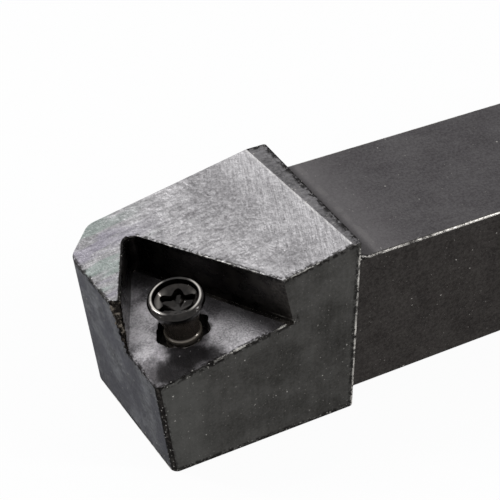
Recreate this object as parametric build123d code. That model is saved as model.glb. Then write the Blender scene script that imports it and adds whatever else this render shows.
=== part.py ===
from build123d import *
import math
import os

os.makedirs("parts", exist_ok=True)

# Turning tool holder with an open three-cornered insert pocket and its seat screw run part-way out.
# +Z up, +X along the shank away from the cutting end, +Y to the far side of the bar.
# Origin: on the shank's underside, on its centre line, at the shoulder where head meets shank.

# ---- driving dimensions (mm, degrees) ----
SHANK_WIDTH = 20.0
SHANK_HEIGHT = 20.0
TOTAL_LENGTH = 125.0
EDGE_BREAK = 0.35            # softened long edges of the bar
HEAD_LENGTH = 26.65          # shoulder to the upper near corner of the end face
HEAD_TOP = 24.25             # height of the flat band behind the slope
HEAD_STEP = 2.1              # how far the near side of the head stands proud of the shank
HEAD_LEAN = 1.7              # near side of the head leaning out towards its foot
SHOULDER_RADIUS = 3.5        # head back face down to the shank's top
STEP_RADIUS = 2.0            # near side of the head back to the shank's side
END_YAW = 3.4                # end face turned so its far side stands further out
END_LEAN = 6.7               # end face leaning in towards its foot
NOSE_RADIUS = 0.9            # upright edge between end face and near side
CORNER_START = 6.2           # where the cut-off far corner begins, across the bar
CORNER_BLEND = 2.0           # rounding either side of the cut-off corner
SLOPE_FRONT = 19.23          # height of the sloping top at the upper near front corner
SLOPE_BACK_NEAR = -1.4       # where the slope runs out into the band, near side
SLOPE_BACK_FAR = -2.6        # the same on the far side
SCREW_BEHIND_END = 7.53      # seat screw's axis at the floor, behind the upper near corner
SCREW_FROM_SIDE = 6.1        # the same, in from the near side of the head
FLOOR_HEIGHT = 14.82         # pocket floor at the screw axis
FLOOR_PITCH = 10.1           # floor rising along the bar
FLOOR_ROLL = 2.9             # floor rising towards the far side
WALL_FRONT_ANGLE = 62.7      # plan direction of the pocket's front wall
POCKET_ANGLE = 58.3          # between the two walls
WALL_FRONT_REACH = 6.04      # screw axis to the front wall
WALL_BACK_REACH = 6.06       # screw axis to the back wall
POCKET_CORNER_RADIUS = 1.0
GROOVE_WIDTH = 0.75          # relief along the foot of the back wall
GROOVE_DEPTH = 0.45
THREAD_DIA = 4.3
THREAD_LEAD = 0.6            # cone on the screw's end
THREAD_CLEARANCE = 0.05      # per side, screw thread in its hole
MOUTH_DIA = 6.1              # wider mouth of the screw hole at the floor
MOUTH_DEPTH = 2.6
HOLE_DEPTH = 11.5            # below the pocket floor
RIM_DIA = 6.5
RIM_HEIGHT = 5.35            # top of the screw's rim above the floor, screw part-way out
RIM_LIP = 0.55               # radius of the rounded rim
RIM_STEP = 0.25              # how far the flared head stays inside the rim
FLARE_SLOPE = 0.4            # radius gained per mm of height where the flare leaves the neck
NECK_DIA = 3.8
NECK_HEIGHT = -0.35          # narrowest place, just inside the mouth of the hole
COLLAR_HEIGHT = -0.75        # top of the full thread diameter
SCREW_REACH = 8.0            # screw's end below the floor
SOCKET_MOUTH_DIA = 5.0
SOCKET_DIA = 4.4             # across opposite lobes
SOCKET_ROOT_DIA = 3.15       # across opposite hollows between lobes
SOCKET_DEPTH = 2.3

# ---- derived sizes ----
HALF_WIDTH = SHANK_WIDTH / 2
NEAR = -HALF_WIDTH - HEAD_STEP
SHANK_END = TOTAL_LENGTH - HEAD_LENGTH
HOLE_DIA = THREAD_DIA + 2 * THREAD_CLEARANCE
SCREW_AT = (SCREW_BEHIND_END - HEAD_LENGTH, NEAR + SCREW_FROM_SIDE)
FRONT_SLACK = SHANK_WIDTH / 2            # blank stands this far beyond the end face
BEYOND = TOTAL_LENGTH + SHANK_WIDTH + HEAD_TOP   # longer than the bar, for cutting blocks


def outside(origin, normal):
    """A block filling the space beyond a plane, on the side its normal points to."""
    return Plane(origin=origin, z_dir=normal) * Box(2 * BEYOND, 2 * BEYOND, BEYOND, align=(
        Align.CENTER, Align.CENTER, Align.MIN))


def upright_edge(shape, x, y):
    """The tall edge of the head that stands nearest to a place in plan."""
    tall = shape.edges().filter_by(lambda e: e.bounding_box().size.Z > SHANK_HEIGHT / 2)
    return tall.sort_by(lambda e: math.hypot(e.center().X - x, e.center().Y - y))[0]


def side_profile():
    """Shank, rounded shoulder and raised head seen from the side, drawn in X and Z."""
    front = -HEAD_LENGTH - FRONT_SLACK
    with BuildSketch(Plane.XZ) as sketch:
        with BuildLine():
            Polyline((SHOULDER_RADIUS, SHANK_HEIGHT), (SHANK_END, SHANK_HEIGHT),
                     (SHANK_END, 0), (front, 0), (front, HEAD_TOP), (0, HEAD_TOP),
                     (0, SHANK_HEIGHT + SHOULDER_RADIUS))
            RadiusArc((0, SHANK_HEIGHT + SHOULDER_RADIUS), (SHOULDER_RADIUS, SHANK_HEIGHT),
                      -SHOULDER_RADIUS)
        make_face()
    return extrude(sketch.sketch, BEYOND, both=True)


def leaning_side():
    """Everything behind the near side of the head, which stands further out at its foot."""
    lean = math.radians(HEAD_LEAN)
    inward = Vector(0, math.cos(lean), -math.sin(lean))
    return outside(Vector(0, NEAR, SLOPE_FRONT), inward)


def plan_profile():
    """The bar from above: head standing proud on the near side, with a rounded step."""
    front, near = -HEAD_LENGTH - FRONT_SLACK, NEAR - FRONT_SLACK
    with BuildSketch(Plane.XY) as sketch:
        with BuildLine():
            Polyline((STEP_RADIUS, -HALF_WIDTH), (SHANK_END, -HALF_WIDTH), (SHANK_END, HALF_WIDTH),
                     (front, HALF_WIDTH), (front, near), (0, near), (0, -HALF_WIDTH - STEP_RADIUS))
            RadiusArc((0, -HALF_WIDTH - STEP_RADIUS), (STEP_RADIUS, -HALF_WIDTH), STEP_RADIUS)
        make_face()
    return extrude(sketch.sketch, BEYOND, both=True) & leaning_side()


def shank_edges(shape):
    """Straight edges of the shank and its square end, except the far lower one."""
    keep = []
    for edge in shape.edges().filter_by(GeomType.LINE):
        box = edge.bounding_box()
        lengthwise = box.size.X > SHANK_END / 2 and box.min.X > 0
        if lengthwise or box.min.X > SHANK_END - 0.01:
            keep.append(edge)
    return keep


def far_lower_round():
    """What rounds off the far lower edge, which runs the whole length of the bar."""
    square = Box(2 * BEYOND, EDGE_BREAK, EDGE_BREAK, align=(Align.CENTER, Align.MAX, Align.MIN))
    round_bar = Pos(0, -EDGE_BREAK, EDGE_BREAK) * Rot(0, 90, 0) * Cylinder(EDGE_BREAK, 3 * BEYOND)
    return Pos(0, HALF_WIDTH, 0) * (square - round_bar)


def end_normal():
    """Outward direction of the end face."""
    yaw, lean = math.radians(END_YAW), math.radians(END_LEAN)
    return Vector(-math.cos(yaw) * math.cos(lean), -math.sin(yaw) * math.cos(lean), -math.sin(lean))


def bar_blank():
    """Bar with its leaning end face and cut-off far corner, before the head is machined."""
    blank = side_profile() & plan_profile()
    blank -= outside(Vector(-HEAD_LENGTH, NEAR, HEAD_TOP), end_normal())
    corner_x = -HEAD_LENGTH - math.tan(math.radians(END_YAW)) * (CORNER_START - NEAR)
    lean = math.tan(math.radians(END_LEAN))
    blank -= outside(Vector(corner_x, CORNER_START, HEAD_TOP), Vector(-1, 1, -lean).normalized())
    either_side = [upright_edge(blank, corner_x, CORNER_START),
                   upright_edge(blank, corner_x + HALF_WIDTH - CORNER_START, HALF_WIDTH)]
    blank = fillet(either_side, CORNER_BLEND)
    return fillet(upright_edge(blank, -HEAD_LENGTH, NEAR), NOSE_RADIUS)


def top_slope():
    """Space above the sloping top of the head."""
    run = SLOPE_BACK_NEAR + HEAD_LENGTH
    along = (HEAD_TOP - SLOPE_FRONT) / run
    across = along * (SLOPE_BACK_NEAR - SLOPE_BACK_FAR) / (HALF_WIDTH - NEAR)
    return outside(Vector(-HEAD_LENGTH, NEAR, SLOPE_FRONT), Vector(-along, -across, 1).normalized())


def floor_plane():
    """Pocket floor, its origin on the screw axis and its x direction nearly along the bar."""
    pitch, roll = math.tan(math.radians(FLOOR_PITCH)), math.tan(math.radians(FLOOR_ROLL))
    return Plane(origin=(*SCREW_AT, FLOOR_HEIGHT), x_dir=Vector(1, 0, pitch).normalized(),
                 z_dir=Vector(-pitch, -roll, 1).normalized())


def along(angle, distance):
    return Vector(math.cos(math.radians(angle)), math.sin(math.radians(angle))) * distance


def pocket_corner():
    """Where the two walls would meet, in the floor's own plane."""
    front, back = WALL_FRONT_ANGLE + 90, WALL_FRONT_ANGLE + POCKET_ANGLE - 90
    c = math.cos(math.radians(front - back))
    f = (WALL_FRONT_REACH - c * WALL_BACK_REACH) / (1 - c * c)
    b = (WALL_BACK_REACH - c * WALL_FRONT_REACH) / (1 - c * c)
    return along(front, f) + along(back, b)


def pocket_space():
    """The pocket: a wedge between two walls that meet in a rounded corner."""
    corner, reach = pocket_corner(), BEYOND
    to_front = corner - along(WALL_FRONT_ANGLE, reach)
    to_back = corner - along(WALL_FRONT_ANGLE + POCKET_ANGLE, reach)
    wedge = make_face(Polyline(corner, to_front, to_back, close=True))
    sharp = wedge.vertices().sort_by_distance(corner)[0]
    return floor_plane() * extrude(fillet(sharp, POCKET_CORNER_RADIUS), BEYOND)


def foot_groove():
    """Narrow relief cut into the floor along the foot of the back wall."""
    middle = pocket_corner() - along(WALL_FRONT_ANGLE + POCKET_ANGLE, BEYOND / 2 + POCKET_CORNER_RADIUS)
    inward = along(WALL_FRONT_ANGLE + POCKET_ANGLE + 90, GROOVE_WIDTH / 2)
    strip = Box(BEYOND, GROOVE_WIDTH, 2 * GROOVE_DEPTH)
    turn = Rot(0, 0, WALL_FRONT_ANGLE + POCKET_ANGLE)
    return floor_plane() * (Pos(*(middle + inward)) * (turn * strip))


def screw_hole():
    """Threaded hole with its wider mouth, square to the pocket floor."""
    low = (Align.CENTER, Align.CENTER, Align.MAX)
    hole = Cylinder(HOLE_DIA / 2, HOLE_DEPTH, align=low) + Cylinder(MOUTH_DIA / 2, MOUTH_DEPTH, align=low)
    return floor_plane() * hole


def holder_bar():
    """Shank and machined head in one piece."""
    bar = bar_blank() - top_slope()
    bar = bar - pocket_space()
    bar = bar - foot_groove()
    bar = bar - screw_hole()
    return fillet(shank_edges(bar), EDGE_BREAK) - far_lower_round()


def socket_space():
    """Six-lobe drive socket with a shallow conical lead-in."""
    mean = (SOCKET_DIA + SOCKET_ROOT_DIA) / 4
    swing = (SOCKET_DIA - SOCKET_ROOT_DIA) / 4
    points = []
    for step in range(72):
        turn = math.radians(step * 5)
        reach = mean + swing * math.cos(6 * turn)
        points.append((reach * math.cos(turn), reach * math.sin(turn)))
    lobes = make_face(Spline(*points, periodic=True))
    shaft = Pos(0, 0, RIM_HEIGHT - SOCKET_DEPTH) * extrude(lobes, SOCKET_DEPTH + 1)
    lead = (SOCKET_MOUTH_DIA - SOCKET_ROOT_DIA) / 2
    cone = Pos(0, 0, RIM_HEIGHT - lead / 2) * Cone(SOCKET_ROOT_DIA / 2, SOCKET_MOUTH_DIA / 2 + lead, 2 * lead)
    return shaft + cone


def seat_screw():
    """Seat screw, turned from one round: rounded rim, flared head, neck and thread."""
    rim, neck, body = RIM_DIA / 2, NECK_DIA / 2, THREAD_DIA / 2
    lip_middle = RIM_HEIGHT - RIM_LIP
    flare_top = (rim - RIM_STEP, lip_middle - RIM_LIP)
    with BuildSketch(Plane.XZ) as sketch:
        with BuildLine():
            Polyline((0, RIM_HEIGHT), (0, -SCREW_REACH), (body - THREAD_LEAD, -SCREW_REACH),
                     (body, -SCREW_REACH + THREAD_LEAD), (body, COLLAR_HEIGHT), (neck, NECK_HEIGHT))
            Spline((neck, NECK_HEIGHT), flare_top, tangents=[(FLARE_SLOPE, 1), (0.02, 1)])
            ThreePointArc(flare_top, (rim, lip_middle), (rim - RIM_LIP, RIM_HEIGHT))
            Line((rim - RIM_LIP, RIM_HEIGHT), (0, RIM_HEIGHT))
        make_face()
    turned = revolve(sketch.sketch, Axis.Z, 360)
    return floor_plane() * (turned - socket_space())


def main():
    for name, make in (("holder_bar", holder_bar), ("seat_screw", seat_screw)):
        shape = make()
        shape.label = name
        export_step(shape, f"parts/{name}.step")


main()
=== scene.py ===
import math

import bmesh
import bpy
from mathutils import Matrix, Vector, noise


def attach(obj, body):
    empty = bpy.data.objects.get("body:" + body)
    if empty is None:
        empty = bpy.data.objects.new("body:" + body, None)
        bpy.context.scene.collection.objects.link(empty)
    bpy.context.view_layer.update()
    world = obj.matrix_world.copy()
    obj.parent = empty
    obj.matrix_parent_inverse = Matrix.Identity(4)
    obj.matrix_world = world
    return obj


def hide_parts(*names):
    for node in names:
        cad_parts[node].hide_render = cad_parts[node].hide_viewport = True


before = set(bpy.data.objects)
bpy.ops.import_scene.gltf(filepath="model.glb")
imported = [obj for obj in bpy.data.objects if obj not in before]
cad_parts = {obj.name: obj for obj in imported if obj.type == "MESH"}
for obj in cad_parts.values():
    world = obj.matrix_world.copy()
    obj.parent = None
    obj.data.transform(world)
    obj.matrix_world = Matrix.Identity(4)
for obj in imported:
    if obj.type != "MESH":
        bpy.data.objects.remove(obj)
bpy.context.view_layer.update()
scene = bpy.context.scene
MM = 0.001
SMOOTH = {"interpolation_type": "SMOOTHSTEP"}
TIMES = {"operation": "MULTIPLY"}
COLOURS = {"out": 2, "data_type": "RGBA"}
WHITE = (1, 1, 1, 1)


# ---------- small helpers ----------
def tint(code):
    """An sRGB hex colour as the linear colour that a shader takes."""
    parts = [int(code[i:i + 2], 16) / 255 for i in (1, 3, 5)]
    return (*[c / 12.92 if c <= 0.04045 else ((c + 0.055) / 1.055) ** 2.4 for c in parts], 1.0)


def radians(angles):
    return tuple(math.radians(angle) for angle in angles)


def add(tree, kind, inputs=(), out=0, **settings):
    """Adds one node with its settings, its inputs as values or links, and gives back one output."""
    node = tree.nodes.new("ShaderNode" + kind)
    for name, value in settings.items():
        setattr(node, name, value)
    for key, value in inputs.items() if isinstance(inputs, dict) else enumerate(inputs):
        if isinstance(value, bpy.types.NodeSocket):
            tree.links.new(value, node.inputs[key])
        elif value is not None:
            node.inputs[key].default_value = value
    return node.outputs[out] if len(node.outputs) else node


def place(obj):
    scene.collection.objects.link(obj)
    return obj


def made(bm, name, materials, sharp_over=None):
    """Turns a finished bmesh into an object at the origin, smooth except over an angle."""
    if sharp_over is not None:
        for face in bm.faces:
            face.smooth = True
        for edge in bm.edges:
            if len(edge.link_faces) == 2:
                edge.smooth = edge.calc_face_angle(0) < math.radians(sharp_over)
    mesh = bpy.data.meshes.new(name)
    bm.to_mesh(mesh)
    bm.free()
    for material in materials:
        mesh.materials.append(material)
    return place(bpy.data.objects.new(name, mesh))


# ---------- the holder's sizes: mm from the shoulder on the shank's base plane, and degrees ----------
SHANK_HEIGHT, SHANK_HALF, SHANK_LENGTH = 20, 10, 98.35
SHANK_ROUND = 0.145                             # how deep the shank's long edges are cut away
HEAD_TOP, HEAD_END, HEAD_NEAR = 24.25, -26.65, -12.1
NOSE_HEIGHT = 19.23                             # of the slope, at the head's near front corner
NEAR_LEAN = 1.7                                 # the near side stands out towards its foot
END_TURN, END_LEAN = 3.4, 6.7                   # the end face looks a little to the near side and down
SLOPE_UP = (-0.1988, -0.0108, 1)
RIDGE_NEAR = Vector((-0.95, -12.1, HEAD_TOP))   # the two ends of the ridge between slope and band
RIDGE_FAR = Vector((-2.6, 10.0, HEAD_TOP))
SCREW_AT = Vector((-19.12, -6.0, 14.82))        # where the screw's axis leaves the pocket floor
FLOOR_PITCH, FLOOR_ROLL = 10.1, 2.9             # the floor falls towards the end and the near side
BACK_TURN, BACK_REACH = 31.0, 6.06              # the way the back wall lies from the screw, and how far
FRONT_TURN, FRONT_REACH = 152.7, 6.04
CORNER_TURN, CORNER_REACH = 91.85, 10.8
BRIGHT_REACH = 8.5                              # how far from the back wall the seat's edge is rubbed bright
WALL_TIP = Vector((-26.3, -5.6, 17.6))          # middle of the broken end of the pocket's front wall
TIP_REACH = 3.1
HOLE_REACH, POCKET_REACH = 3.2, 16              # from the screw's axis

PITCH_ANGLE, ROLL_ANGLE = radians((FLOOR_PITCH, FLOOR_ROLL))
FLOOR_UP = Vector((-math.tan(PITCH_ANGLE), -math.tan(ROLL_ANGLE), 1)).normalized()
FLOOR_X = Vector((1, 0, math.tan(PITCH_ANGLE))).normalized()
FLOOR_Y = FLOOR_UP.cross(FLOOR_X)
NEAR_UP = Vector((0, -1, 1)).normalized()


def end_direction(turn, lean):
    """The way the end face looks: along the bar, but turned and leaning in."""
    a, b = radians((turn, lean))
    return Vector((-math.cos(a) * math.cos(b), -math.sin(a) * math.cos(b), -math.sin(b)))


def pocket_wall(turn, reach):
    """A plane square to the pocket floor, turned about the screw's axis and so far from it."""
    direction = FLOOR_X * math.cos(math.radians(turn)) + FLOOR_Y * math.sin(math.radians(turn))
    return direction, SCREW_AT + direction * reach


# Name: direction the plane faces, and a point on it in mm. They tell the faces apart and place the wear.
PLANES = {
    "near": (Vector((0, -math.cos(math.radians(NEAR_LEAN)), math.sin(math.radians(NEAR_LEAN)))),
             Vector((0, HEAD_NEAR, NOSE_HEIGHT))),
    "end": (end_direction(END_TURN, END_LEAN), Vector((HEAD_END, HEAD_NEAR, HEAD_TOP))),
    "slope": (Vector(SLOPE_UP).normalized(), Vector((HEAD_END, HEAD_NEAR, NOSE_HEIGHT))),
    "band": (Vector((0, 0, 1)), Vector((0, 0, HEAD_TOP))),
    "back": (Vector((1, 0, 0)), Vector((0, 0, 0))),
    "ridge": ((RIDGE_FAR - RIDGE_NEAR).cross(Vector((0, 0, 1))).normalized(), RIDGE_NEAR),
    "far": (Vector((0, 1, 0)), Vector((0, SHANK_HALF, 0))),
    "under": (Vector((0, 0, -1)), Vector((0, 0, 0))),
    "floor": (FLOOR_UP, SCREW_AT),
    "front_wall": pocket_wall(FRONT_TURN, FRONT_REACH),
    "back_wall": pocket_wall(BACK_TURN, BACK_REACH),
    "seat_half": pocket_wall(BACK_TURN, BACK_REACH - BRIGHT_REACH),
    "corner": pocket_wall(CORNER_TURN, CORNER_REACH),   # cuts off the pocket's round corner
    "shank_top": (Vector((0, 0, 1)), Vector((0, 0, SHANK_HEIGHT))),
    "shank_near": (Vector((0, -1, 0)), Vector((0, -SHANK_HALF, 0))),
    "shank_round": (NEAR_UP, Vector((0, -SHANK_HALF, SHANK_HEIGHT)) - NEAR_UP * SHANK_ROUND),
    "shank_end": (Vector((1, 0, 0)), Vector((SHANK_LENGTH, 0, 0))),
}


def past(name, point):
    """How far in mm a point lies past one of the planes."""
    direction, on = PLANES[name]
    return direction.dot(point - on)


# ---------- patterns that the finishes share ----------
def in_mm(tree):
    """Place on the object in millimetres."""
    in_metres = add(tree, "TexCoord", out="Object")
    return add(tree, "VectorMath", {0: in_metres, "Scale": 1 / MM}, operation="SCALE")


def cloud(tree, at, lump, low=0.0, high=1.0, detail=2.0, grit=0.5, stretch=(1, 1, 1), turn=(0, 0, 0)):
    """Uneven pattern with lumps of so many mm, drawn out and turned as a tool leaves its marks."""
    if any(turn):
        at = add(tree, "Mapping", {"Vector": at, "Rotation": radians(turn)})
    if stretch != (1, 1, 1):
        at = add(tree, "Mapping", {"Vector": at, "Scale": stretch})
    value = add(tree, "TexNoise", {"Vector": at, "Scale": 1 / lump, "Detail": detail, "Roughness": grit})
    return add(tree, "MapRange", (value, low, high), **SMOOTH) if (low, high) != (0.0, 1.0) else value


def one_to_a_cell(tree, cells, gone, full, share):
    """A mark in the middle of a share of the cells of a random pattern, with soft rims."""
    mark = add(tree, "MapRange", (cells.outputs["Distance"], gone, full), **SMOOTH)
    random = add(tree, "SeparateColor", (cells.outputs["Color"],)).node
    chosen = add(tree, "MapRange", (random.outputs[0], share, share * 0.5), **SMOOTH)
    return add(tree, "Math", (mark, chosen), **TIMES)


def specks(tree, at, radius, amount):
    """Separate small ragged marks, so many to the square mm."""
    share = 0.8
    apart = (2 * radius * share / amount) ** (1 / 3)
    torn = add(tree, "TexNoise", {"Vector": at, "Scale": 0.9 / radius, "Detail": 1.0}, out="Color")
    bent = add(tree, "VectorMath", {0: torn, 1: (radius * 2.0,) * 3, 2: at}, operation="MULTIPLY_ADD")
    cells = add(tree, "TexVoronoi", {"Vector": bent, "Scale": 1 / apart}).node
    return one_to_a_cell(tree, cells, radius / apart, 0.5 * radius / apart, share)


def scratches(tree, at, turn, length, width, amount):
    """Short fine scratches that all lie about one way, so many to the square mm."""
    share, sway_by = 0.6, 1.5
    apart = math.sqrt(2 * width * share / (amount * length))
    sway = add(tree, "TexNoise", {"Vector": at, "Scale": 0.3, "Detail": 0.0}, out="Color")
    bent = add(tree, "VectorMath", {0: sway, 1: (sway_by,) * 3, 2: at}, operation="MULTIPLY_ADD")
    laid = add(tree, "Mapping", {"Vector": bent, "Rotation": radians(turn)})
    drawn = add(tree, "Mapping", {"Vector": laid, "Scale": (1 / length, 1 / apart, 1 / apart)})
    cells = add(tree, "TexVoronoi", {"Vector": drawn, "Scale": 1.0}).node
    return one_to_a_cell(tree, cells, width / apart, 0.3 * width / apart, share)


def past_plane(tree, at, name):
    """How far in mm the surface point lies past one of the planes."""
    direction, on = PLANES[name]
    reach = add(tree, "VectorMath", {0: at, 1: direction}, out="Value", operation="DOT_PRODUCT")
    return add(tree, "Math", (reach, direction.dot(on)), operation="SUBTRACT")


def close_to(tree, value, middle, gone, full):
    """1 where a value is near its middle: gone at one distance from it and full at another."""
    off = add(tree, "Math", (value, -middle), operation="ADD")
    off = add(tree, "Math", (off,), operation="ABSOLUTE")
    return add(tree, "MapRange", (off, gone, full), **SMOOTH)


def to_edges(tree, at, edges):
    """Distance in mm to the nearest of a face's edges, each named for the plane it is shared with. An edge
    that ends part-way is limited to the + or - side of one more plane, or of two."""
    nearest = None
    for edge in edges.split():
        name, *limits = edge.split(":")
        distance = add(tree, "Math", (past_plane(tree, at, name),), operation="ABSOLUTE")
        for limit in limits:
            side = -1.0 if limit[0] == "+" else 1.0
            over = add(tree, "Math", (past_plane(tree, at, limit[1:]), side), **TIMES)
            distance = add(tree, "Math", (distance, over), operation="MAXIMUM")
        nearest = distance if nearest is None else add(tree, "Math", (nearest, distance), operation="MINIMUM")
    return nearest


def edge_wear(tree, at, edges, width, bright, dark="#100e0d"):
    """Coats of wear along a face's edges: dark crumbled scale, then bare metal rubbed through here and
    there. Edges after the bar sign are crumbled and dark, with only a few bare dots."""
    coats = []
    torn = cloud(tree, at, 0.45, detail=4.0, grit=0.75)
    for group, rubbed in zip(edges.split("|"), (True, False)):
        if not group:
            continue
        shifted = add(tree, "Math", (torn, 2.2 * width, to_edges(tree, at, group)), operation="MULTIPLY_ADD")
        wide = add(tree, "MapRange", (shifted, 4.1 * width, 2.4 * width), **SMOOTH)
        near = add(tree, "MapRange", (shifted, 2.1 * width, 1.45 * width), **SMOOTH)
        crumbs = add(tree, "Math", (wide, cloud(tree, at, 0.6, 0.56, 0.46, 3.0, 0.6)), **TIMES)
        coats.append((crumbs, 0.85, dark))
        if rubbed:
            bare = add(tree, "Math", (near, cloud(tree, at, 0.55, 0.44, 0.54, 3.0, 0.7)), **TIMES)
            bare = add(tree, "Math", (bare, cloud(tree, at, 3.2, 0.38, 0.54, 3.0)), **TIMES)
            coats.append((bare, 0.9, bright))
        else:
            dots = add(tree, "Math", (wide, specks(tree, at, 0.09, 2.6)), **TIMES)
            coats += [(near, 0.7, dark), (dots, 0.65, bright)]
    return coats


def glint_and_wear_line(tree, at, name, inside, half):
    """A thin broken lighter line along a plane's edge, so many mm inside it: a painted highlight where an
    edge or a rounding catches the light, and along worn edges rubbed metal as well.
    """
    line = close_to(tree, past_plane(tree, at, name), -inside, half, 0.3 * half)
    return add(tree, "Math", (line, cloud(tree, at, 1.4, 0.35, 0.55, 3.0)), **TIMES)


def layers(tree, base, *coats):
    """Colour built up coat by coat, each a mask and the colour that it lays over what is there."""
    for mask, share, colour in coats:
        mask = add(tree, "Math", (mask, share), **TIMES)
        base = add(tree, "Mix", {0: mask, 6: base, 7: tint(colour)}, **COLOURS)
    return base


def heap(tree, *parts):
    """Sum of patterns, each times its height."""
    total = 0.0
    for pattern, height in parts:
        total = add(tree, "Math", (pattern, height, total), operation="MULTIPLY_ADD")
    return total


def finish(name):
    """An empty material and the place in mm that its patterns read."""
    material = bpy.data.materials.new(name)
    material.use_nodes = True
    material.node_tree.nodes.clear()
    return material, material.node_tree, in_mm(material.node_tree)


def surface(tree, colour, roughness, height, relief, **sockets):
    """The shader itself, with a relief of so many mm for each unit of height."""
    normal = add(tree, "Bump", {"Height": height, "Distance": relief * MM, "Strength": 1.0})
    inputs = {"Base Color": colour, "Roughness": roughness, "Normal": normal}
    inputs.update({key.replace("_", " "): value for key, value in sockets.items()})
    add(tree, "OutputMaterial", {"Surface": add(tree, "BsdfPrincipled", inputs)})


# ---------- finishes ----------
def blackened_steel(name, dark, light, edges, marks, width=0.28, dust=1.0, streak=0.25, blotch=0.35,
                    shades=(), bloom=None, glint_line=None):
    """Milled alloy steel blackened in hot salts: a thin dark scale over faint cutter marks. It gives an even
    deep grey with a soft sheen, a few bare specks and scratches, and bright metal where edges rub through.
    The scale's own grain is too fine to show, so it is drawn 0.34 mm coarse. Each shade is painted light
    or painted shade, a ramp towards a plane: the plane, the distances past it where it is full and gone, a
    share and a colour. The last argument is a painted highlight, a thin lighter line: a plane, how far inside
    it, half the line's width, and a share."""
    material, tree, at = finish(name)
    passes = cloud(tree, at, 0.45, 0.3, 0.7, 2.0, 0.5, *marks)
    grain = cloud(tree, at, 0.34, 0.34, 0.66, 3.0, 0.75)
    broad = cloud(tree, at, 5.0, 0.3, 0.7, 4.0, 0.6)
    tone = heap(tree, (passes, streak), (grain, 1 - blotch - streak), (broad, blotch))
    base = add(tree, "Mix", {0: tone, 6: tint(dark), 7: tint(light)}, **COLOURS)
    fine = specks(tree, at, 0.07, 1.2 * dust)
    small = specks(tree, at, 0.10, 0.25 * dust)
    large = specks(tree, at, 0.14, 0.06 * dust)
    lines = scratches(tree, at, (0, 25, 0), 1.6, 0.06, 0.05 * dust)
    more = scratches(tree, at, (40, -50, 20), 1.1, 0.06, 0.07 * dust)
    hairs = scratches(tree, at, (0, -20, 0), 1.3, 0.05, 0.035 * dust)
    wear = edge_wear(tree, at, edges, width, "#c4c1bb")
    crumbs = wear[0][0]
    if glint_line:
        plane, inside, half, share = glint_line
        base = layers(tree, base, (glint_and_wear_line(tree, at, plane, inside, half), share, "#b0ada8"))
    if bloom:
        base = layers(tree, base, (cloud(tree, at, 3.4, 0.42, 0.6, 3.0), 0.6, bloom))
    for plane, full, gone, share, colour in shades:
        shade = add(tree, "MapRange", (past_plane(tree, at, plane), gone, full), **SMOOTH)
        base = layers(tree, base, (shade, share, colour))
    base = layers(tree, base, (fine, 0.4, "#84817d"), (small, 0.6, "#8d8a86"), (large, 0.85, "#b0ada8"),
                  (lines, 0.6, "#94918d"), (more, 0.6, "#8d8a86"), (hairs, 0.8, "#b0ada8"), *wear)
    shine = add(tree, "Math", (heap(tree, (broad, 0.08), (grain, 0.06)), 0.39), operation="ADD")
    height = heap(tree, (passes, 1.5 * streak), (grain, 1.0), (crumbs, -5.0), (small, -2.0))
    surface(tree, base, shine, height, 0.008, Metallic=0.8, Specular_Tint=DULL)
    return material


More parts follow.
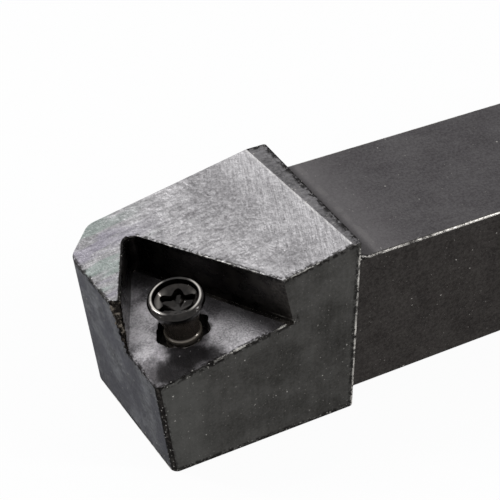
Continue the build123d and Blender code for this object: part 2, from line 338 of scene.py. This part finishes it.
def bare_milled_steel(name, edges):
    """Steel face-milled after hardening and only lightly dulled since: pewter grey, with cutter marks along
    the bar at its end and across it behind, dented and pitted between the two, and a faint green and violet
    bloom at the end."""
    material, tree, at = finish(name)
    past_end = past_plane(tree, at, "end")
    to_end = add(tree, "MapRange", (past_end, -13.0, -3.0), **SMOOTH)
    behind = add(tree, "MapRange", (past_end, -18.0, -23.5), **SMOOTH)

    along = cloud(tree, at, 0.42, 0.3, 0.7, 3.0, 0.6, (0.05, 1, 1), (0, 0, 3))
    across = cloud(tree, at, 0.20, 0.3, 0.7, 2.0, 0.6, (1, 0.04, 1), (0, 0, 22))
    strong = add(tree, "Math", (cloud(tree, at, 4.0, 0.45, 0.7, 2.0), behind), operation="MAXIMUM")
    across = add(tree, "Math", (across, strong), **TIMES)
    x = add(tree, "SeparateXYZ", (at,))
    drift = heap(tree, (x, 1.0), (cloud(tree, at, 5.0), 9.0))
    which = add(tree, "MapRange", (drift, -9.5, -4.0), **SMOOTH)
    passes = add(tree, "Mix", {0: which, 2: along, 3: across})
    mottle = cloud(tree, at, 0.8, 0.34, 0.66, 3.0, 0.65)
    broad = cloud(tree, at, 6.0, 0.35, 0.65, 3.0)
    grain = cloud(tree, at, 0.3, 0.34, 0.66, 3.0, 0.75)
    tone = heap(tree, (passes, 0.40), (mottle, 0.22), (grain, 0.30), (broad, 0.16))
    base = add(tree, "Mix", {0: tone, 6: tint("#626062"), 7: tint("#c0bec0")}, **COLOURS)

    bands = cloud(tree, at, 2.4, 0.3, 0.7, 2.0, 0.5, (0.2, 1, 1))
    green = add(tree, "Math", (to_end, add(tree, "MapRange", (bands, 0.55, 0.85), **SMOOTH)), **TIMES)
    violet = add(tree, "Math", (to_end, add(tree, "MapRange", (bands, 0.45, 0.15), **SMOOTH)), **TIMES)
    # A lighter broken line along the ridge: painted highlight of the edge, with the rubbing along it.
    ridge = glint_and_wear_line(tree, at, "ridge", 0.12, 0.2)
    pits = specks(tree, at, 0.10, 0.9)
    deep = specks(tree, at, 0.14, 0.08)
    glints = specks(tree, at, 0.08, 0.15)
    wear = edge_wear(tree, at, edges, 0.17, "#e8e6e2", "#262423")
    crumbs = wear[0][0]
    base = layers(tree, base, (behind, 0.10, "#d0ced0"), (ridge, 0.4, "#dddbd9"), (to_end, 0.22, "#5f6163"),
                  (green, 0.45, "#7d8f86"), (violet, 0.35, "#8a8397"), (pits, 0.4, "#5c5a5b"),
                  (deep, 0.6, "#444243"), (glints, 0.7, "#e8e8ea"), *wear)

    torn = add(tree, "TexNoise", {"Vector": at, "Scale": 1.2, "Detail": 1.0}, out="Color")
    bent = add(tree, "VectorMath", {0: torn, 1: (0.9,) * 3, 2: at}, operation="MULTIPLY_ADD")
    dents = add(tree, "TexVoronoi", {"Vector": bent, "Scale": 1 / 0.62, "Smoothness": 0.35},
                feature="SMOOTH_F1")
    dents = add(tree, "Math", (dents, cloud(tree, at, 2.2, 0.35, 0.6)), **TIMES)
    outer = add(tree, "Math", (behind, to_end), operation="MAXIMUM")
    dents = add(tree, "Math", (dents, add(tree, "MapRange", (outer, 1.0, 0.2))), **TIMES)
    shine = add(tree, "MapRange", (tone, 0.1, 0.9, 0.54, 0.42), **SMOOTH)
    height = heap(tree, (passes, 1.0), (mottle, 1.8), (dents, -6.0), (grain, 0.5), (pits, -2.5), (deep, -4.0),
                  (crumbs, -3.0))
    surface(tree, base, shine, height, 0.034, Metallic=0.85)
    return material


def pocket_floor_steel(name, edges):
    """Blackened pocket floor polished through in patches by the seat plate: cloudy mid grey over black, with
    painted shadow in front of the screw and painted shade along the back wall."""
    material, tree, at = finish(name)
    patches = cloud(tree, at, 3.0, 0.36, 0.62, 3.0, 0.5)
    grain = cloud(tree, at, 0.26, 0.34, 0.66, 3.0, 0.75)
    tone = heap(tree, (patches, 0.6), (grain, 0.4))
    base = add(tree, "Mix", {0: tone, 6: tint("#3e3c3e"), 7: tint("#bcb8bc")}, **COLOURS)
    drag = cloud(tree, at, 0.5, 0.3, 0.7, 3.0, 0.6, (0.3, 1, 1), (0, 0, -50))
    base = layers(tree, base, (drag, 0.35, "#3b393b"))
    for (x, y), radius, soft, share, colour in FLOOR_PATCHES:
        middle = SCREW_AT + FLOOR_X * x + FLOOR_Y * y
        away = add(tree, "VectorMath", {0: at, 1: middle}, out="Value", operation="DISTANCE")
        away = heap(tree, (away, 1.0), (cloud(tree, at, 1.6, detail=3.0), 2 * PATCH_WANDER))
        rim = radius + PATCH_WANDER
        patch = add(tree, "MapRange", (away, rim + soft, rim), **SMOOTH)
        if colour == POLISH:
            patch = add(tree, "Math", (patch, add(tree, "MapRange", (grain, 0.0, 1.0, 0.45, 1.0))), **TIMES)
        base = layers(tree, base, (patch, share, colour))
    # Painted shade and reflection of the dark back wall on the floor beside it.
    corner = add(tree, "MapRange", (to_edges(tree, at, "back_wall"), 4.6, 1.2), **SMOOTH)
    scuffs = scratches(tree, at, (0, 0, -40), 1.2, 0.08, 0.25)
    wear = edge_wear(tree, at, edges, 0.15, "#cfccc6")
    crumbs = wear[0][0]
    base = layers(tree, base, (corner, 0.88, "#232122"), (scuffs, 0.5, "#c9c6c8"), *wear)
    shine = add(tree, "MapRange", (tone, 0.1, 0.9, 0.5, 0.38), **SMOOTH)
    surface(tree, base, shine, heap(tree, (patches, 1.0), (grain, 1.2), (crumbs, -4.0)), 0.012, Metallic=0.8)
    return material


def pocket_wall_steel(name, edges, glint=None):
    """Pocket walls, finely milled, deep black and oily: nearly black with a smooth gloss, dusty near the
    open end. A glint is a painted highlight, a thin grey line so many mm below the slope where the rim's
    rounding would catch the light."""
    material, tree, at = finish(name)
    tone = cloud(tree, at, 1.8, 0.35, 0.7, 3.0)
    base = add(tree, "Mix", {0: tone, 6: tint("#242221"), 7: tint("#3b3835")}, **COLOURS)
    open_end = add(tree, "MapRange", (past_plane(tree, at, "near"), -4.5, 0.0), **SMOOTH)
    dusty = add(tree, "Math", (open_end, cloud(tree, at, 0.4, 0.4, 0.65, 3.0, 0.8)), **TIMES)
    dots = specks(tree, at, 0.07, 0.15)
    # A lighter broken line at the wall's foot near the open end: painted highlight on the groove's edge, with
    # rubbing.
    foot = add(tree, "Math", (open_end, glint_and_wear_line(tree, at, "floor", -0.12, 0.14)), **TIMES)
    wear = edge_wear(tree, at, edges, 0.24, "#cfccc6", "#0e0d0d")
    crumbs = wear[0][0]
    base = layers(tree, base, (dusty, 0.55, "#5d5a56"), (dots, 0.7, "#8c8985"), *wear, (foot, 0.9, "#b0ada8"))
    if glint:
        base = layers(tree, base, (glint_and_wear_line(tree, at, "slope", glint, 0.13), 0.8, "#8f8c88"))
    shine = add(tree, "MapRange", (tone, 0.0, 1.0, 0.26, 0.36), **SMOOTH)
    surface(tree, base, shine, heap(tree, (tone, 1.0), (dusty, 1.0), (crumbs, -3.0)), 0.008, Metallic=0.95)
    return material


def rubbed_edge(name, dark, bright, low, high, lump=1.6, gaps=(0.36, 0.48), where=None):
    """The narrow rounded edge itself: the scale rubbed and chipped off to bright metal, in flecks. An edge
    rubbed only in part has a plane and the distances past it where the flecks are gone and full."""
    material, tree, at = finish(name)
    patches = cloud(tree, at, lump, low, high, 5.0, 0.85)
    flecks = cloud(tree, at, 0.35, *gaps, 3.0, 0.8)
    worn = add(tree, "Math", (patches, flecks), **TIMES)
    if where:
        plane, gone, full = where
        kept = add(tree, "MapRange", (past_plane(tree, at, plane), gone, full), **SMOOTH)
        worn = add(tree, "Math", (worn, kept), **TIMES)
    base = layers(tree, tint(dark), (worn, 0.95, bright))
    shine = add(tree, "MapRange", (worn, 0.0, 1.0, 0.5, 0.3), **SMOOTH)
    surface(tree, base, shine, flecks, 0.03, Metallic=0.85, Specular_Tint=DULL)
    return material


def black_oxide_screw(name):
    """Hardened screw, tumbled smooth and blackened, with oil left on it: glossy black with sharp highlights.
    The crests of its thread are rubbed grey, two sides of its lip and of the belly below carry painted
    highlights, and its body is a duller brown."""
    material, tree, at = finish(name)
    tone = cloud(tree, at, 0.8, 0.35, 0.7, 3.0, 0.6)
    base = add(tree, "Mix", {0: tone, 6: tint("#151312"), 7: tint("#262321")}, **COLOURS)
    dots = specks(tree, at, 0.05, 0.5)
    from_seat = add(tree, "VectorMath", (at, SCREW_AT), operation="SUBTRACT")
    outwards = add(tree, "VectorMath", (from_seat, FLOOR_UP), operation="CROSS_PRODUCT")
    radius = add(tree, "VectorMath", (outwards,), out="Value", operation="LENGTH")
    height = add(tree, "VectorMath", (from_seat, FLOOR_UP), out="Value", operation="DOT_PRODUCT")

    crest = add(tree, "MapRange", (radius, CREST - 0.24, CREST - 0.05), **SMOOTH)
    thread = add(tree, "MapRange", (height, 0.16, 0.08), **SMOOTH)
    rubbed = add(tree, "Math", (crest, thread), **TIMES)
    around = add(tree, "MapRange", (radius, 2.2, 2.35), **SMOOTH)
    below = add(tree, "MapRange", (height, 2.8, 2.6), **SMOOTH)
    not_socket = add(tree, "Math", (around, below), operation="MAXIMUM")
    body = add(tree, "Math", (add(tree, "MapRange", (height, 4.8, 3.0), **SMOOTH), not_socket), **TIMES)

    # Painted highlights: the lip's inner edge and the belly under the rim are lighter on two sides.
    across = add(tree, "VectorMath", {0: from_seat, 1: LIT_SIDES_WAY}, out="Value", operation="DOT_PRODUCT")
    across = add(tree, "Math", (across,), operation="ABSOLUTE")
    sides = add(tree, "MapRange", (across, 1.0, 2.2), **SMOOTH)
    lit_sides = add(tree, "Math", (cloud(tree, at, 2.6, 0.36, 0.50, 3.0), sides), **TIMES)
    upper = add(tree, "MapRange", (height, 5.1, 5.2), **SMOOTH)
    lip = add(tree, "Math", (close_to(tree, radius, 2.78, 0.16, 0.04), upper), **TIMES)
    lip = add(tree, "Math", (lip, lit_sides), **TIMES)
    belly_highlight = add(tree, "Math", (close_to(tree, height, 4.25, 0.3, 0.0), lit_sides), **TIMES)
    base = layers(tree, base, (dots, 0.6, "#8d8983"), (body, 0.65, "#453e38"), (rubbed, 0.8, "#6b645b"),
                  (lip, 0.9, "#a8a49f"), (belly_highlight, 0.45, "#8f8b86"))
    shine = add(tree, "MapRange", (tone, 0.0, 1.0, 0.17, 0.26), **SMOOTH)
    metal = add(tree, "MapRange", (body, 0.0, 1.0, 1.0, 0.45), **SMOOTH)
    surface(tree, base, shine, tone, 0.004, Metallic=metal, Coat_Weight=0.35, Coat_Roughness=0.08,
            Specular_Tint=(0.5, 0.5, 0.5, 1.0))
    return material


# Seat screw in mm from where its axis leaves the floor: the rim's radius, the round of its lip and the
# height of the lip's middle, then the thread's crest, root and pitch, then the socket's lobes.
RIM, LIP, LIP_MIDDLE = 3.25, 0.55, 4.80
CREST, ROOT, PITCH = 2.14, 1.78, 0.75
LOBES, LOBE_SWING = 6, 0.3125

DULL = (0.3, 0.3, 0.3, 1.0)             # the rough scale does not turn mirror-like at a glancing view
UPRIGHT = ((1, 1, 0.07), (0, 0, 0))     # cutter marks that run up and down
LENGTHWISE = ((0.07, 1, 1), (0, 0, 0))  # cutter marks that run along the bar
LIT_SIDES_WAY = (0.9, -0.43, 0.1)           # points to the two sides of the screw's lip that carry painted highlights
PATCH_WANDER = 1.2                      # how far in mm the rims of the floor's patches wander
PAINTED_SHADOW, POLISH = "#1d1b1c", "#d6d3d6"
# Patches on the pocket floor, polished ones and dark ones that are painted shadow of the screw and its
# driver: middle along and across the floor from the screw, radius, softness, share, colour
FLOOR_PATCHES = (
    ((-3.9, 3.0), 1.9, 2.4, 0.6, POLISH),
    ((4.4, -3.9), 1.9, 2.2, 0.75, POLISH),
    ((-5.4, -0.9), 0.3, 1.2, 0.6, POLISH),
    ((0.0, 0.0), 2.7, 0.7, 0.75, PAINTED_SHADOW),
    ((-1.5, -3.9), 1.6, 1.6, 0.94, PAINTED_SHADOW),
    ((-3.4, -5.2), 1.5, 1.5, 0.9, PAINTED_SHADOW),
    ((-5.2, -4.2), 1.0, 1.6, 0.75, PAINTED_SHADOW),
    ((1.0, -5.6), 0.8, 1.2, 0.9, PAINTED_SHADOW),
    ((8.6, -2.0), 0.8, 1.6, 0.8, PAINTED_SHADOW),
)
# The blackened steel comes in lighter copies for the faces that look up and darker copies for the faces that
# look sideways or down: painted light and shade from above, on top of the lamps.
FINISHES = {
    # Head's near side: painted light within 9 mm of the end face, and a painted highlight along its corner
    # with the head's back.
    "near": blackened_steel("blackened_steel_head_side_shaded", "#2a2927", "#4e4d4b",
                            "slope:+back_wall back floor:-back_wall:+seat_half|floor:-seat_half end under",
                            UPRIGHT, width=0.27, streak=0.1, blotch=0.6, dust=1.1,
                            shades=(("end", -1.0, -9.0, 0.2, "#666764"),),
                            glint_line=("back", 0.1, 0.22, 0.75)),
    # End face: painted shade, darker towards its foot.
    "end": blackened_steel("blackened_steel_end_face", "#38393c", "#85868a",
                           "under|near slope:+front_wall floor:-front_wall", ((1, 0.3, 1), (0, 0, 30)),
                           dust=2.4, shades=(("under", 30.0, -20.0, 0.75, "#1f1d1e"),), bloom="#4a4a52"),
    "slope": bare_milled_steel("bare_milled_top", "back_wall:-corner|near end front_wall:-corner"),
    "band": blackened_steel("blackened_steel_band", "#403f40", "#8a888a", "|back far", LENGTHWISE, dust=7.0),
    # Shank top: painted light that fades out within 12 mm of the head, painted shade in the shoulder's
    # rounding, and a painted highlight line 4.2 mm behind the head.
    "shank_top": blackened_steel("blackened_steel_shank_top_lit", "#423f41", "#605e5f",
                                 "shank_near far|shank_end", LENGTHWISE, width=0.12, streak=0.1, dust=0.6,
                                 shades=(("back", 3.0, 12.0, 0.4, "#777475"),
                                         ("back", 3.0, 4.0, 0.5, "#2a2829")),
                                 glint_line=("back", -4.2, 0.6, 0.1)),
    "shank_side": blackened_steel("blackened_steel_shank_side_shaded", "#221f1e", "#413e3c",
                                  "shank_top under|shank_end", LENGTHWISE, width=0.12, streak=0.1, dust=0.6),
    "wall": pocket_wall_steel("blackened_back_wall", "slope|end"),
    # Front wall: a painted highlight line 0.5 mm below the slope.
    "front_wall": pocket_wall_steel("blackened_front_wall", "|slope end", glint=0.5),
    "floor": pocket_floor_steel("rubbed_pocket_floor",
                                "near:-back_wall:+seat_half|near:-seat_half end:-front_wall"),
    "far_side": blackened_steel("blackened_steel_far_side", "#262422", "#4b4946",
                                "shank_top|under shank_end", LENGTHWISE, width=0.12, streak=0.1),
    "under": blackened_steel("blackened_steel_underside", "#262422", "#4b4946",
                             "shank_end|far shank_near", LENGTHWISE, width=0.12, streak=0.1),
    "shank_end": blackened_steel("blackened_steel_shank_end", "#2c2a2e", "#545254",
                                 "shank_top|far shank_near under", UPRIGHT, width=0.12, streak=0.3),
    "nose": blackened_steel("blackened_steel_nose", "#161413", "#45423f", "under|near end", UPRIGHT,
                            width=0.3, dust=3.0),
    "edge": rubbed_edge("rubbed_steel_edges", "#262422", "#c4c1bb", 0.36, 0.50, 3.0, (0.36, 0.54)),
    "line": rubbed_edge("rubbed_long_edges", "#55524f", "#c4c1bb", 0.34, 0.56, 2.2, (0.25, 0.55)),
    "shank_edge": rubbed_edge("rubbed_shank_edges", "#2e2c2b", "#b0ada8", 0.36, 0.58, 2.6, (0.25, 0.5),
                              where=("shank_round", -0.05, -0.012)),
    "seat_edge": rubbed_edge("rubbed_seat_edge", "#2b2926", "#ebe8e3", 0.26, 0.40, 1.6, (0.30, 0.46),
                             where=("back_wall", -11.0, -7.5)),
    "rim_edge": rubbed_edge("rubbed_pocket_rim", "#24221f", "#f0ede8", 0.43, 0.54, 3.0, (0.30, 0.46)),
    "groove_edge": rubbed_edge("rubbed_groove_edges", "#3b3937", "#e8e5df", 0.22, 0.40),
    "chipped": rubbed_edge("chipped_wall_end", "#1c1917", "#736c63", 0.48, 0.60, 0.9),
    "foot": rubbed_edge("blackened_steel_lower_edges", "#2b2928", "#6b6864", 0.52, 0.66),
}
ZONES = list(FINISHES)


# ---------- the bar ----------
FLAT = 0.9995   # cosine of the angle within which a face looks the same way as a plane


def zone_of(face):
    """Which finish a face of the bar has, from where it lies and which way it looks."""
    n, at = face.normal, face.calc_center_median() / MM
    above = past("floor", at)
    to_screw = (SCREW_AT - at) - FLOOR_UP * FLOOR_UP.dot(SCREW_AT - at)
    if to_screw.length < HOLE_REACH and above < 0.5 and n.dot(FLOOR_UP) < 0.9:
        return "wall"
    if n.dot(FLOOR_UP) > FLAT and abs(above) < 0.1:
        return "floor"
    faces_in = abs(n.dot(FLOOR_UP)) < 0.03 and n.dot(to_screw) > 0
    in_pocket = past("front_wall", at) < 0.1 and past("back_wall", at) < 0.8 and past("near", at) < -0.2
    if faces_in and in_pocket and above > -0.6 and to_screw.length < POCKET_REACH:
        in_front = n.dot(PLANES["front_wall"][0]) < n.dot(PLANES["back_wall"][0])
        return "front_wall" if in_front else "wall"
    if n.dot(FLOOR_UP) > FLAT and above < -0.1:
        return "wall"
    if n.dot(PLANES["slope"][0]) > FLAT:
        return "slope"
    if at.z > SHANK_HEIGHT + 0.02 and n.x > 0.1 and at.x > -0.3:
        return "shank_top"
    if at.z > SHANK_HEIGHT + 0.05 and n.z > 0.05 and at.x > -3.5:
        return "band"
    if at.x > 2.5 and n.z > 0.98:
        return "shank_top"
    if at.x > 0.05 and n.y < -0.5 and abs(n.z) < 0.2:
        return "shank_side"
    if n.y < -0.9 and abs(n.z) < 0.2:
        return "near"
    if n.x < -0.93:
        return "end"
    if n.x < -0.05 and n.y < -0.2:
        return "nose"
    if n.x < -0.3:
        return "end"
    if at.x > 1 and abs(n.y) > 0.05 and abs(n.z) > 0.05:
        return "foot" if n.z < 0 else "shank_edge" if n.y < 0 else "edge"
    if n.y < -0.2:
        return "near"
    if n.x > 0.9 and at.x > SHANK_LENGTH / 2:
        return "shank_end"
    if n.z < -0.8:
        return "under"
    return "far_side"


def edge_zone(at):
    """Which finish a rounded edge has, from how far past each plane it lies."""
    near, end, slope, floor, back, front_wall, back_wall = (
        past(name, at) for name in ("near", "end", "slope", "floor", "back", "front_wall", "back_wall"))
    in_pocket = front_wall < 0.5 and back_wall < 0.5
    if at.z < 3:
        return "foot"
    if abs(near) < 0.4 and abs(back_wall) < 0.4 and floor > 0.5:
        return "near"
    if (at - WALL_TIP).length < TIP_REACH and floor > -0.4:
        return "rim_edge" if slope > -0.35 and end < -0.3 else "chipped"
    if abs(near) < 0.5 and abs(back) < 0.5 and at.z < 24:
        return "line"
    if back > 1 and at.z > 19 and abs(past("shank_near", at)) < 0.4:
        return "line"
    if abs(end) < 0.4 and (slope > -0.4 or in_pocket):
        return "nose"
    if in_pocket and -1.0 < back_wall < -0.5 and abs(floor) < 0.3:
        return "groove_edge"
    if abs(near) < 0.4 and abs(floor) < 0.4 and back_wall < -0.3:
        return "seat_edge"
    if in_pocket and slope > -0.4 and near < -0.4:
        return "front_wall" if front_wall > -2.2 else "rim_edge"
    if back > -0.4 and at.z > SHANK_HEIGHT:
        return "foot"
    return "edge"


def on_planes(vert, *names):
    return all(abs(past(name, vert.co / MM)) < 0.02 for name in names)


def sharp_edges(bm):
    return [e for e in bm.edges if len(e.link_faces) == 2 and math.degrees(e.calc_face_angle(0)) > 28]


def bevel(bm, edges, width, segments, clamp=False):
    """Bevels edges so many mm wide and gives back the new faces."""
    return bmesh.ops.bevel(bm, geom=edges, affect="EDGES", offset=width * MM, offset_type="OFFSET",
                           segments=segments, profile=0.5, material=-1, clamp_overlap=clamp)["faces"]


def break_wall_tip(bm):
    """The thin wedge between the pocket's front wall and the end face, broken off: wide at the top and
    running out at the foot."""
    wedge = [e for e in sharp_edges(bm) if all(on_planes(v, "end", "front_wall") for v in e.verts)]
    ends = sorted((v.co.copy() for e in wedge for v in e.verts), key=lambda co: co.z)
    foot, top = ends[0], ends[-1]
    broken = bevel(bm, wedge, 1.0, 1)
    for vert in {v for face in broken for v in face.verts}:
        nearer = min((foot, top), key=lambda co: (vert.co - co).length)
        vert.co = nearer + (vert.co - nearer) * (2.4 if nearer is top else 0.35)
    for face in broken:
        face.material_index = ZONES.index("chipped")


def soften_rim(bm):
    """The rim of the pocket's front wall, rounded more than the other edges."""
    rim = [e for e in sharp_edges(bm) if all(on_planes(v, "slope") for v in e.verts)
           and any(ZONES[f.material_index] == "front_wall" for f in e.link_faces)]
    for face in bevel(bm, rim, 0.3, 3):
        face.material_index = ZONES.index("front_wall")


def round_edges(bm):
    """All sharp edges rubbed round and slightly ragged, most so around the broken tip. Gives back the faces
    of the rounding."""
    for edge in sharp_edges(bm):
        middle = (edge.verts[0].co + edge.verts[1].co) / 2 / MM
        step = 0.28 if middle.x < 4 and middle.z > 10 else 1.2
        cuts = int(edge.calc_length() / MM / step)
        if cuts:
            bmesh.ops.subdivide_edges(bm, edges=[edge], cuts=cuts)
    strip = set(bevel(bm, sharp_edges(bm), 0.13, 2, clamp=True))
    for face in strip:
        face.material_index = ZONES.index(edge_zone(face.calc_center_median() / MM))
    for vert in {v for face in strip for v in face.verts}:
        if all(f in strip for f in vert.link_faces):
            at = vert.co / MM
            depth = 0.35 * abs(noise.noise(at * 2.2)) + abs(noise.noise(at * 0.6 + Vector((7, 3, 5))))
            depth *= min(1.0, at.z / 6) if at.x < -0.6 else 0.1
            vert.co -= vert.normal * depth * 0.07 * MM
            if (at - WALL_TIP).length < TIP_REACH and past("floor", at) > 0.3:
                aside = noise.noise_vector(at * 1.5)
                aside -= PLANES["end"][0] * max(0.0, aside.dot(PLANES["end"][0]))
                vert.co += aside * 0.4 * MM
    return strip


def chip_tip(bm, strip):
    """The broken face of the wall's tip cut small and pitted."""
    def broken():
        return [f for f in bm.faces if ZONES[f.material_index] == "chipped" and f not in strip]

    bmesh.ops.triangulate(bm, faces=broken())
    rough = set(broken())
    inner = [e for e in bm.edges if e.link_faces and all(f in rough for f in e.link_faces)]
    bmesh.ops.subdivide_edges(bm, edges=inner, cuts=5)
    for vert in bm.verts:
        if vert.link_faces and all(ZONES[f.material_index] == "chipped" for f in vert.link_faces):
            pit = abs(noise.noise(vert.co / MM * 1.6)) + 0.5 * abs(noise.noise(vert.co / MM * 4.2))
            vert.co -= vert.normal * (0.05 + pit) * 0.45 * MM


def fray_hole(bm):
    """The mouth of the screw hole, uneven and chipped."""
    for vert in bm.verts:
        at = vert.co / MM
        above = past("floor", at)
        outwards = at - SCREW_AT - FLOOR_UP * above
        if abs(above) < 0.2 and outwards.length < 3.4:
            push = noise.noise(at * 1.1 + Vector((2, 9, 4))) - 0.1
            vert.co += outwards.normalized() * push * 0.45 * MM


def bar():
    """The bar with its wear. The near end of the ridge is drawn back a little, for a narrower band."""
    bm = bmesh.new()
    bm.from_mesh(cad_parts["holder_bar"].data)
    bmesh.ops.remove_doubles(bm, verts=bm.verts, dist=2e-6)
    bmesh.ops.dissolve_limit(bm, angle_limit=math.radians(0.3), verts=bm.verts, edges=bm.edges)
    for face in bm.faces:
        face.material_index = ZONES.index(zone_of(face))
    for vert in bm.verts:
        if on_planes(vert, "slope", "band") and vert.co.y < 0:
            vert.co.x = RIDGE_NEAR.x * MM
    break_wall_tip(bm)
    soften_rim(bm)
    strip = round_edges(bm)
    chip_tip(bm, strip)
    fray_hole(bm)
    obj = made(bm, "holder_bar_worn", [FINISHES[z] for z in ZONES], 50)
    even = obj.modifiers.new("even_normals", "WEIGHTED_NORMAL")
    even.keep_sharp = True
    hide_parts("holder_bar")
    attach(obj, "bar")


# ---------- seat screw ----------
def screw_outline():
    """Half section of the screw in its own mm, from the socket's floor round to the tip, as if the socket
    were round: radius, height."""
    points = [(0.0, 2.85), (0.9, 2.95), (1.7, 3.02), (1.89, 3.15), (1.89, 3.5), (1.89, 3.9), (1.89, 4.1),
              (2.2, 4.32), (2.5, 4.5), (2.58, 4.62), (2.6, 4.85)]
    cup, cup_top = points[-1]
    for step in range(13):
        turn = math.radians(152 - step * 187 / 12)
        points.append((RIM - LIP + LIP * math.cos(turn), LIP_MIDDLE + LIP * math.sin(turn)))
    points = [(max(r, cup) if h > cup_top else r, h) for r, h in points]
    points += [(3.08, 4.28), (2.98, 4.02), (2.86, 3.74), (2.73, 3.44), (2.60, 3.1), (2.46, 2.72),
               (2.33, 2.3), (2.21, 1.88), (2.11, 1.4), (2.03, 0.95), (1.97, 0.55), (1.94, 0.3), (1.97, 0.16),
               (2.07, 0.09), (2.15, 0.0), (2.18, -0.12), (2.17, -0.34), (CREST, -0.46)]
    height = -0.54
    while height > -7.4:
        points.append((CREST, height))
        height -= PITCH / 9
    return points + [(1.7, -7.75), (1.5, -8.0), (0.0, -8.0)]


def seat_screw():
    """Seat screw, spun from its half section, its socket then drawn into six lobes and its thread into a
    helix."""
    bm = bmesh.new()
    chain = [bm.verts.new((r * MM, 0, h * MM)) for r, h in screw_outline()]
    edges = [bm.edges.new(pair) for pair in zip(chain, chain[1:])]
    bmesh.ops.spin(bm, geom=chain + edges, cent=(0, 0, 0), axis=(0, 0, 1), angle=math.tau, steps=96,
                   use_merge=True)
    bmesh.ops.remove_doubles(bm, verts=bm.verts, dist=1e-6)
    for vert in bm.verts:
        r, h = math.hypot(vert.co.x, vert.co.y) / MM, vert.co.z / MM
        turn = math.atan2(vert.co.y, vert.co.x)
        if r < 0.01:
            continue
        wanted = r
        if 2.9 < h < 4.4 and r < 2.3:
            share = min(1, r / 1.7) if h < 3.1 else (1.0 if h < 4.2 else 0.45)
            lobe = share * LOBE_SWING * math.cos(LOBES * turn)
            wanted = r + lobe
            if h > 4.0:
                vert.co.z += 0.4 * lobe * MM
        elif -7.45 < h <= -0.5 and r > 2.0:
            phase = (h / PITCH - turn / math.tau) % 1.0
            ridge = min(1.0, max(0.0, 1.25 - abs(phase - 0.5) * 3.0))
            fade = min(1.0, max(0.0, (-0.6 - h) / 0.4))
            wanted = CREST - (CREST - ROOT) * (1 - ridge) * fade
        vert.co.x *= wanted / r
        vert.co.y *= wanted / r
    bmesh.ops.recalc_face_normals(bm, faces=bm.faces)
    seat = Matrix((FLOOR_X, FLOOR_Y, FLOOR_UP)).transposed().to_4x4()
    bmesh.ops.transform(bm, matrix=Matrix.Translation(SCREW_AT * MM) @ seat, verts=bm.verts)
    obj = made(bm, "seat_screw_threaded", [black_oxide_screw("black_oxide_screw")], 40)
    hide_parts("seat_screw")
    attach(obj, "screw")


# ---------- camera ----------
def camera():
    data = bpy.data.cameras.new("camera")
    data.sensor_width = 36.0
    data.lens = 100.153
    data.clip_start, data.clip_end = 0.01, 20
    obj = place(bpy.data.objects.new("camera", data))
    right = Vector((0.87966985, -0.47538042, 0.01394323))
    up = Vector((0.28291367, 0.54663529, 0.78813052))
    turn = Matrix((right, up, right.cross(up))).transposed().to_4x4()
    obj.matrix_world = Matrix.Translation(Vector((-69.428, -111.92, 117.45)) * MM) @ turn
    scene.camera = obj


# ---------- studio ----------
def softbox(name, place_at, look_at, size, watts):
    data = bpy.data.lights.new(name, "AREA")
    data.shape, data.size, data.size_y = "RECTANGLE", size[0], size[1]
    data.energy = watts
    obj = place(bpy.data.objects.new(name, data))
    obj.location = Vector(place_at)
    obj.rotation_euler = (Vector(look_at) - Vector(place_at)).to_track_quat("-Z", "Y").to_euler()


def seen_rays(tree):
    """1 for the rays that should meet the plain white background: camera, glossy and transmission."""
    path = add(tree, "LightPath").node
    seen = add(tree, "Math", (path.outputs["Is Camera Ray"], path.outputs["Is Glossy Ray"]),
               operation="MAXIMUM")
    return add(tree, "Math", (seen, path.outputs["Is Transmission Ray"]), operation="MAXIMUM")


def white_paper():
    """White background paper: even and matt, a little darker only where the object shades it."""
    material = bpy.data.materials.new("white_background_paper")
    material.use_nodes = True
    tree = material.node_tree
    tree.nodes.clear()
    matt = add(tree, "BsdfDiffuse", {"Color": tint("#f6f6f6")})
    glow = add(tree, "Emission", {"Color": WHITE, "Strength": 1.0})
    share = add(tree, "Math", (seen_rays(tree), 0.95), **TIMES)
    add(tree, "OutputMaterial", {"Surface": add(tree, "MixShader", (share, matt, glow))})
    return material


def studio():
    world = bpy.data.worlds.new("studio")
    scene.world = world
    world.use_nodes = True
    tree = world.node_tree
    tree.nodes.clear()
    room = add(tree, "Background", {"Color": (0.94, 0.96, 1.0, 1), "Strength": 0.5})
    white = add(tree, "Background", {"Color": WHITE, "Strength": 1.0})
    add(tree, "OutputWorld", {"Surface": add(tree, "MixShader", (seen_rays(tree), room, white))})
    softbox("top_softbox", (-0.02, 0.36, 0.46), (0.0, 0, 0.015), (0.42, 0.3), 0.3)
    softbox("left_strip", (-0.26, 0.22, 0.33), (-0.02, 0, 0.015), (0.05, 0.22), 0.6)
    softbox("right_strip", (0.26, -0.22, 0.27), (-0.02, 0, 0.015), (0.05, 0.22), 0.5)
    softbox("low_left_strip", (-0.42, -0.03, 0.045), (-0.02, 0, 0.02), (0.03, 0.05), 0.09)
    softbox("low_right_strip", (0.30, -0.32, 0.03), (-0.02, 0, 0.02), (0.03, 0.05), 0.09)
    bm = bmesh.new()
    bmesh.ops.create_grid(bm, x_segments=1, y_segments=1, size=3.0)
    made(bm, "floor", [white_paper()])


scene.view_settings.view_transform = "Standard"
camera()
bar()
seat_screw()
studio()
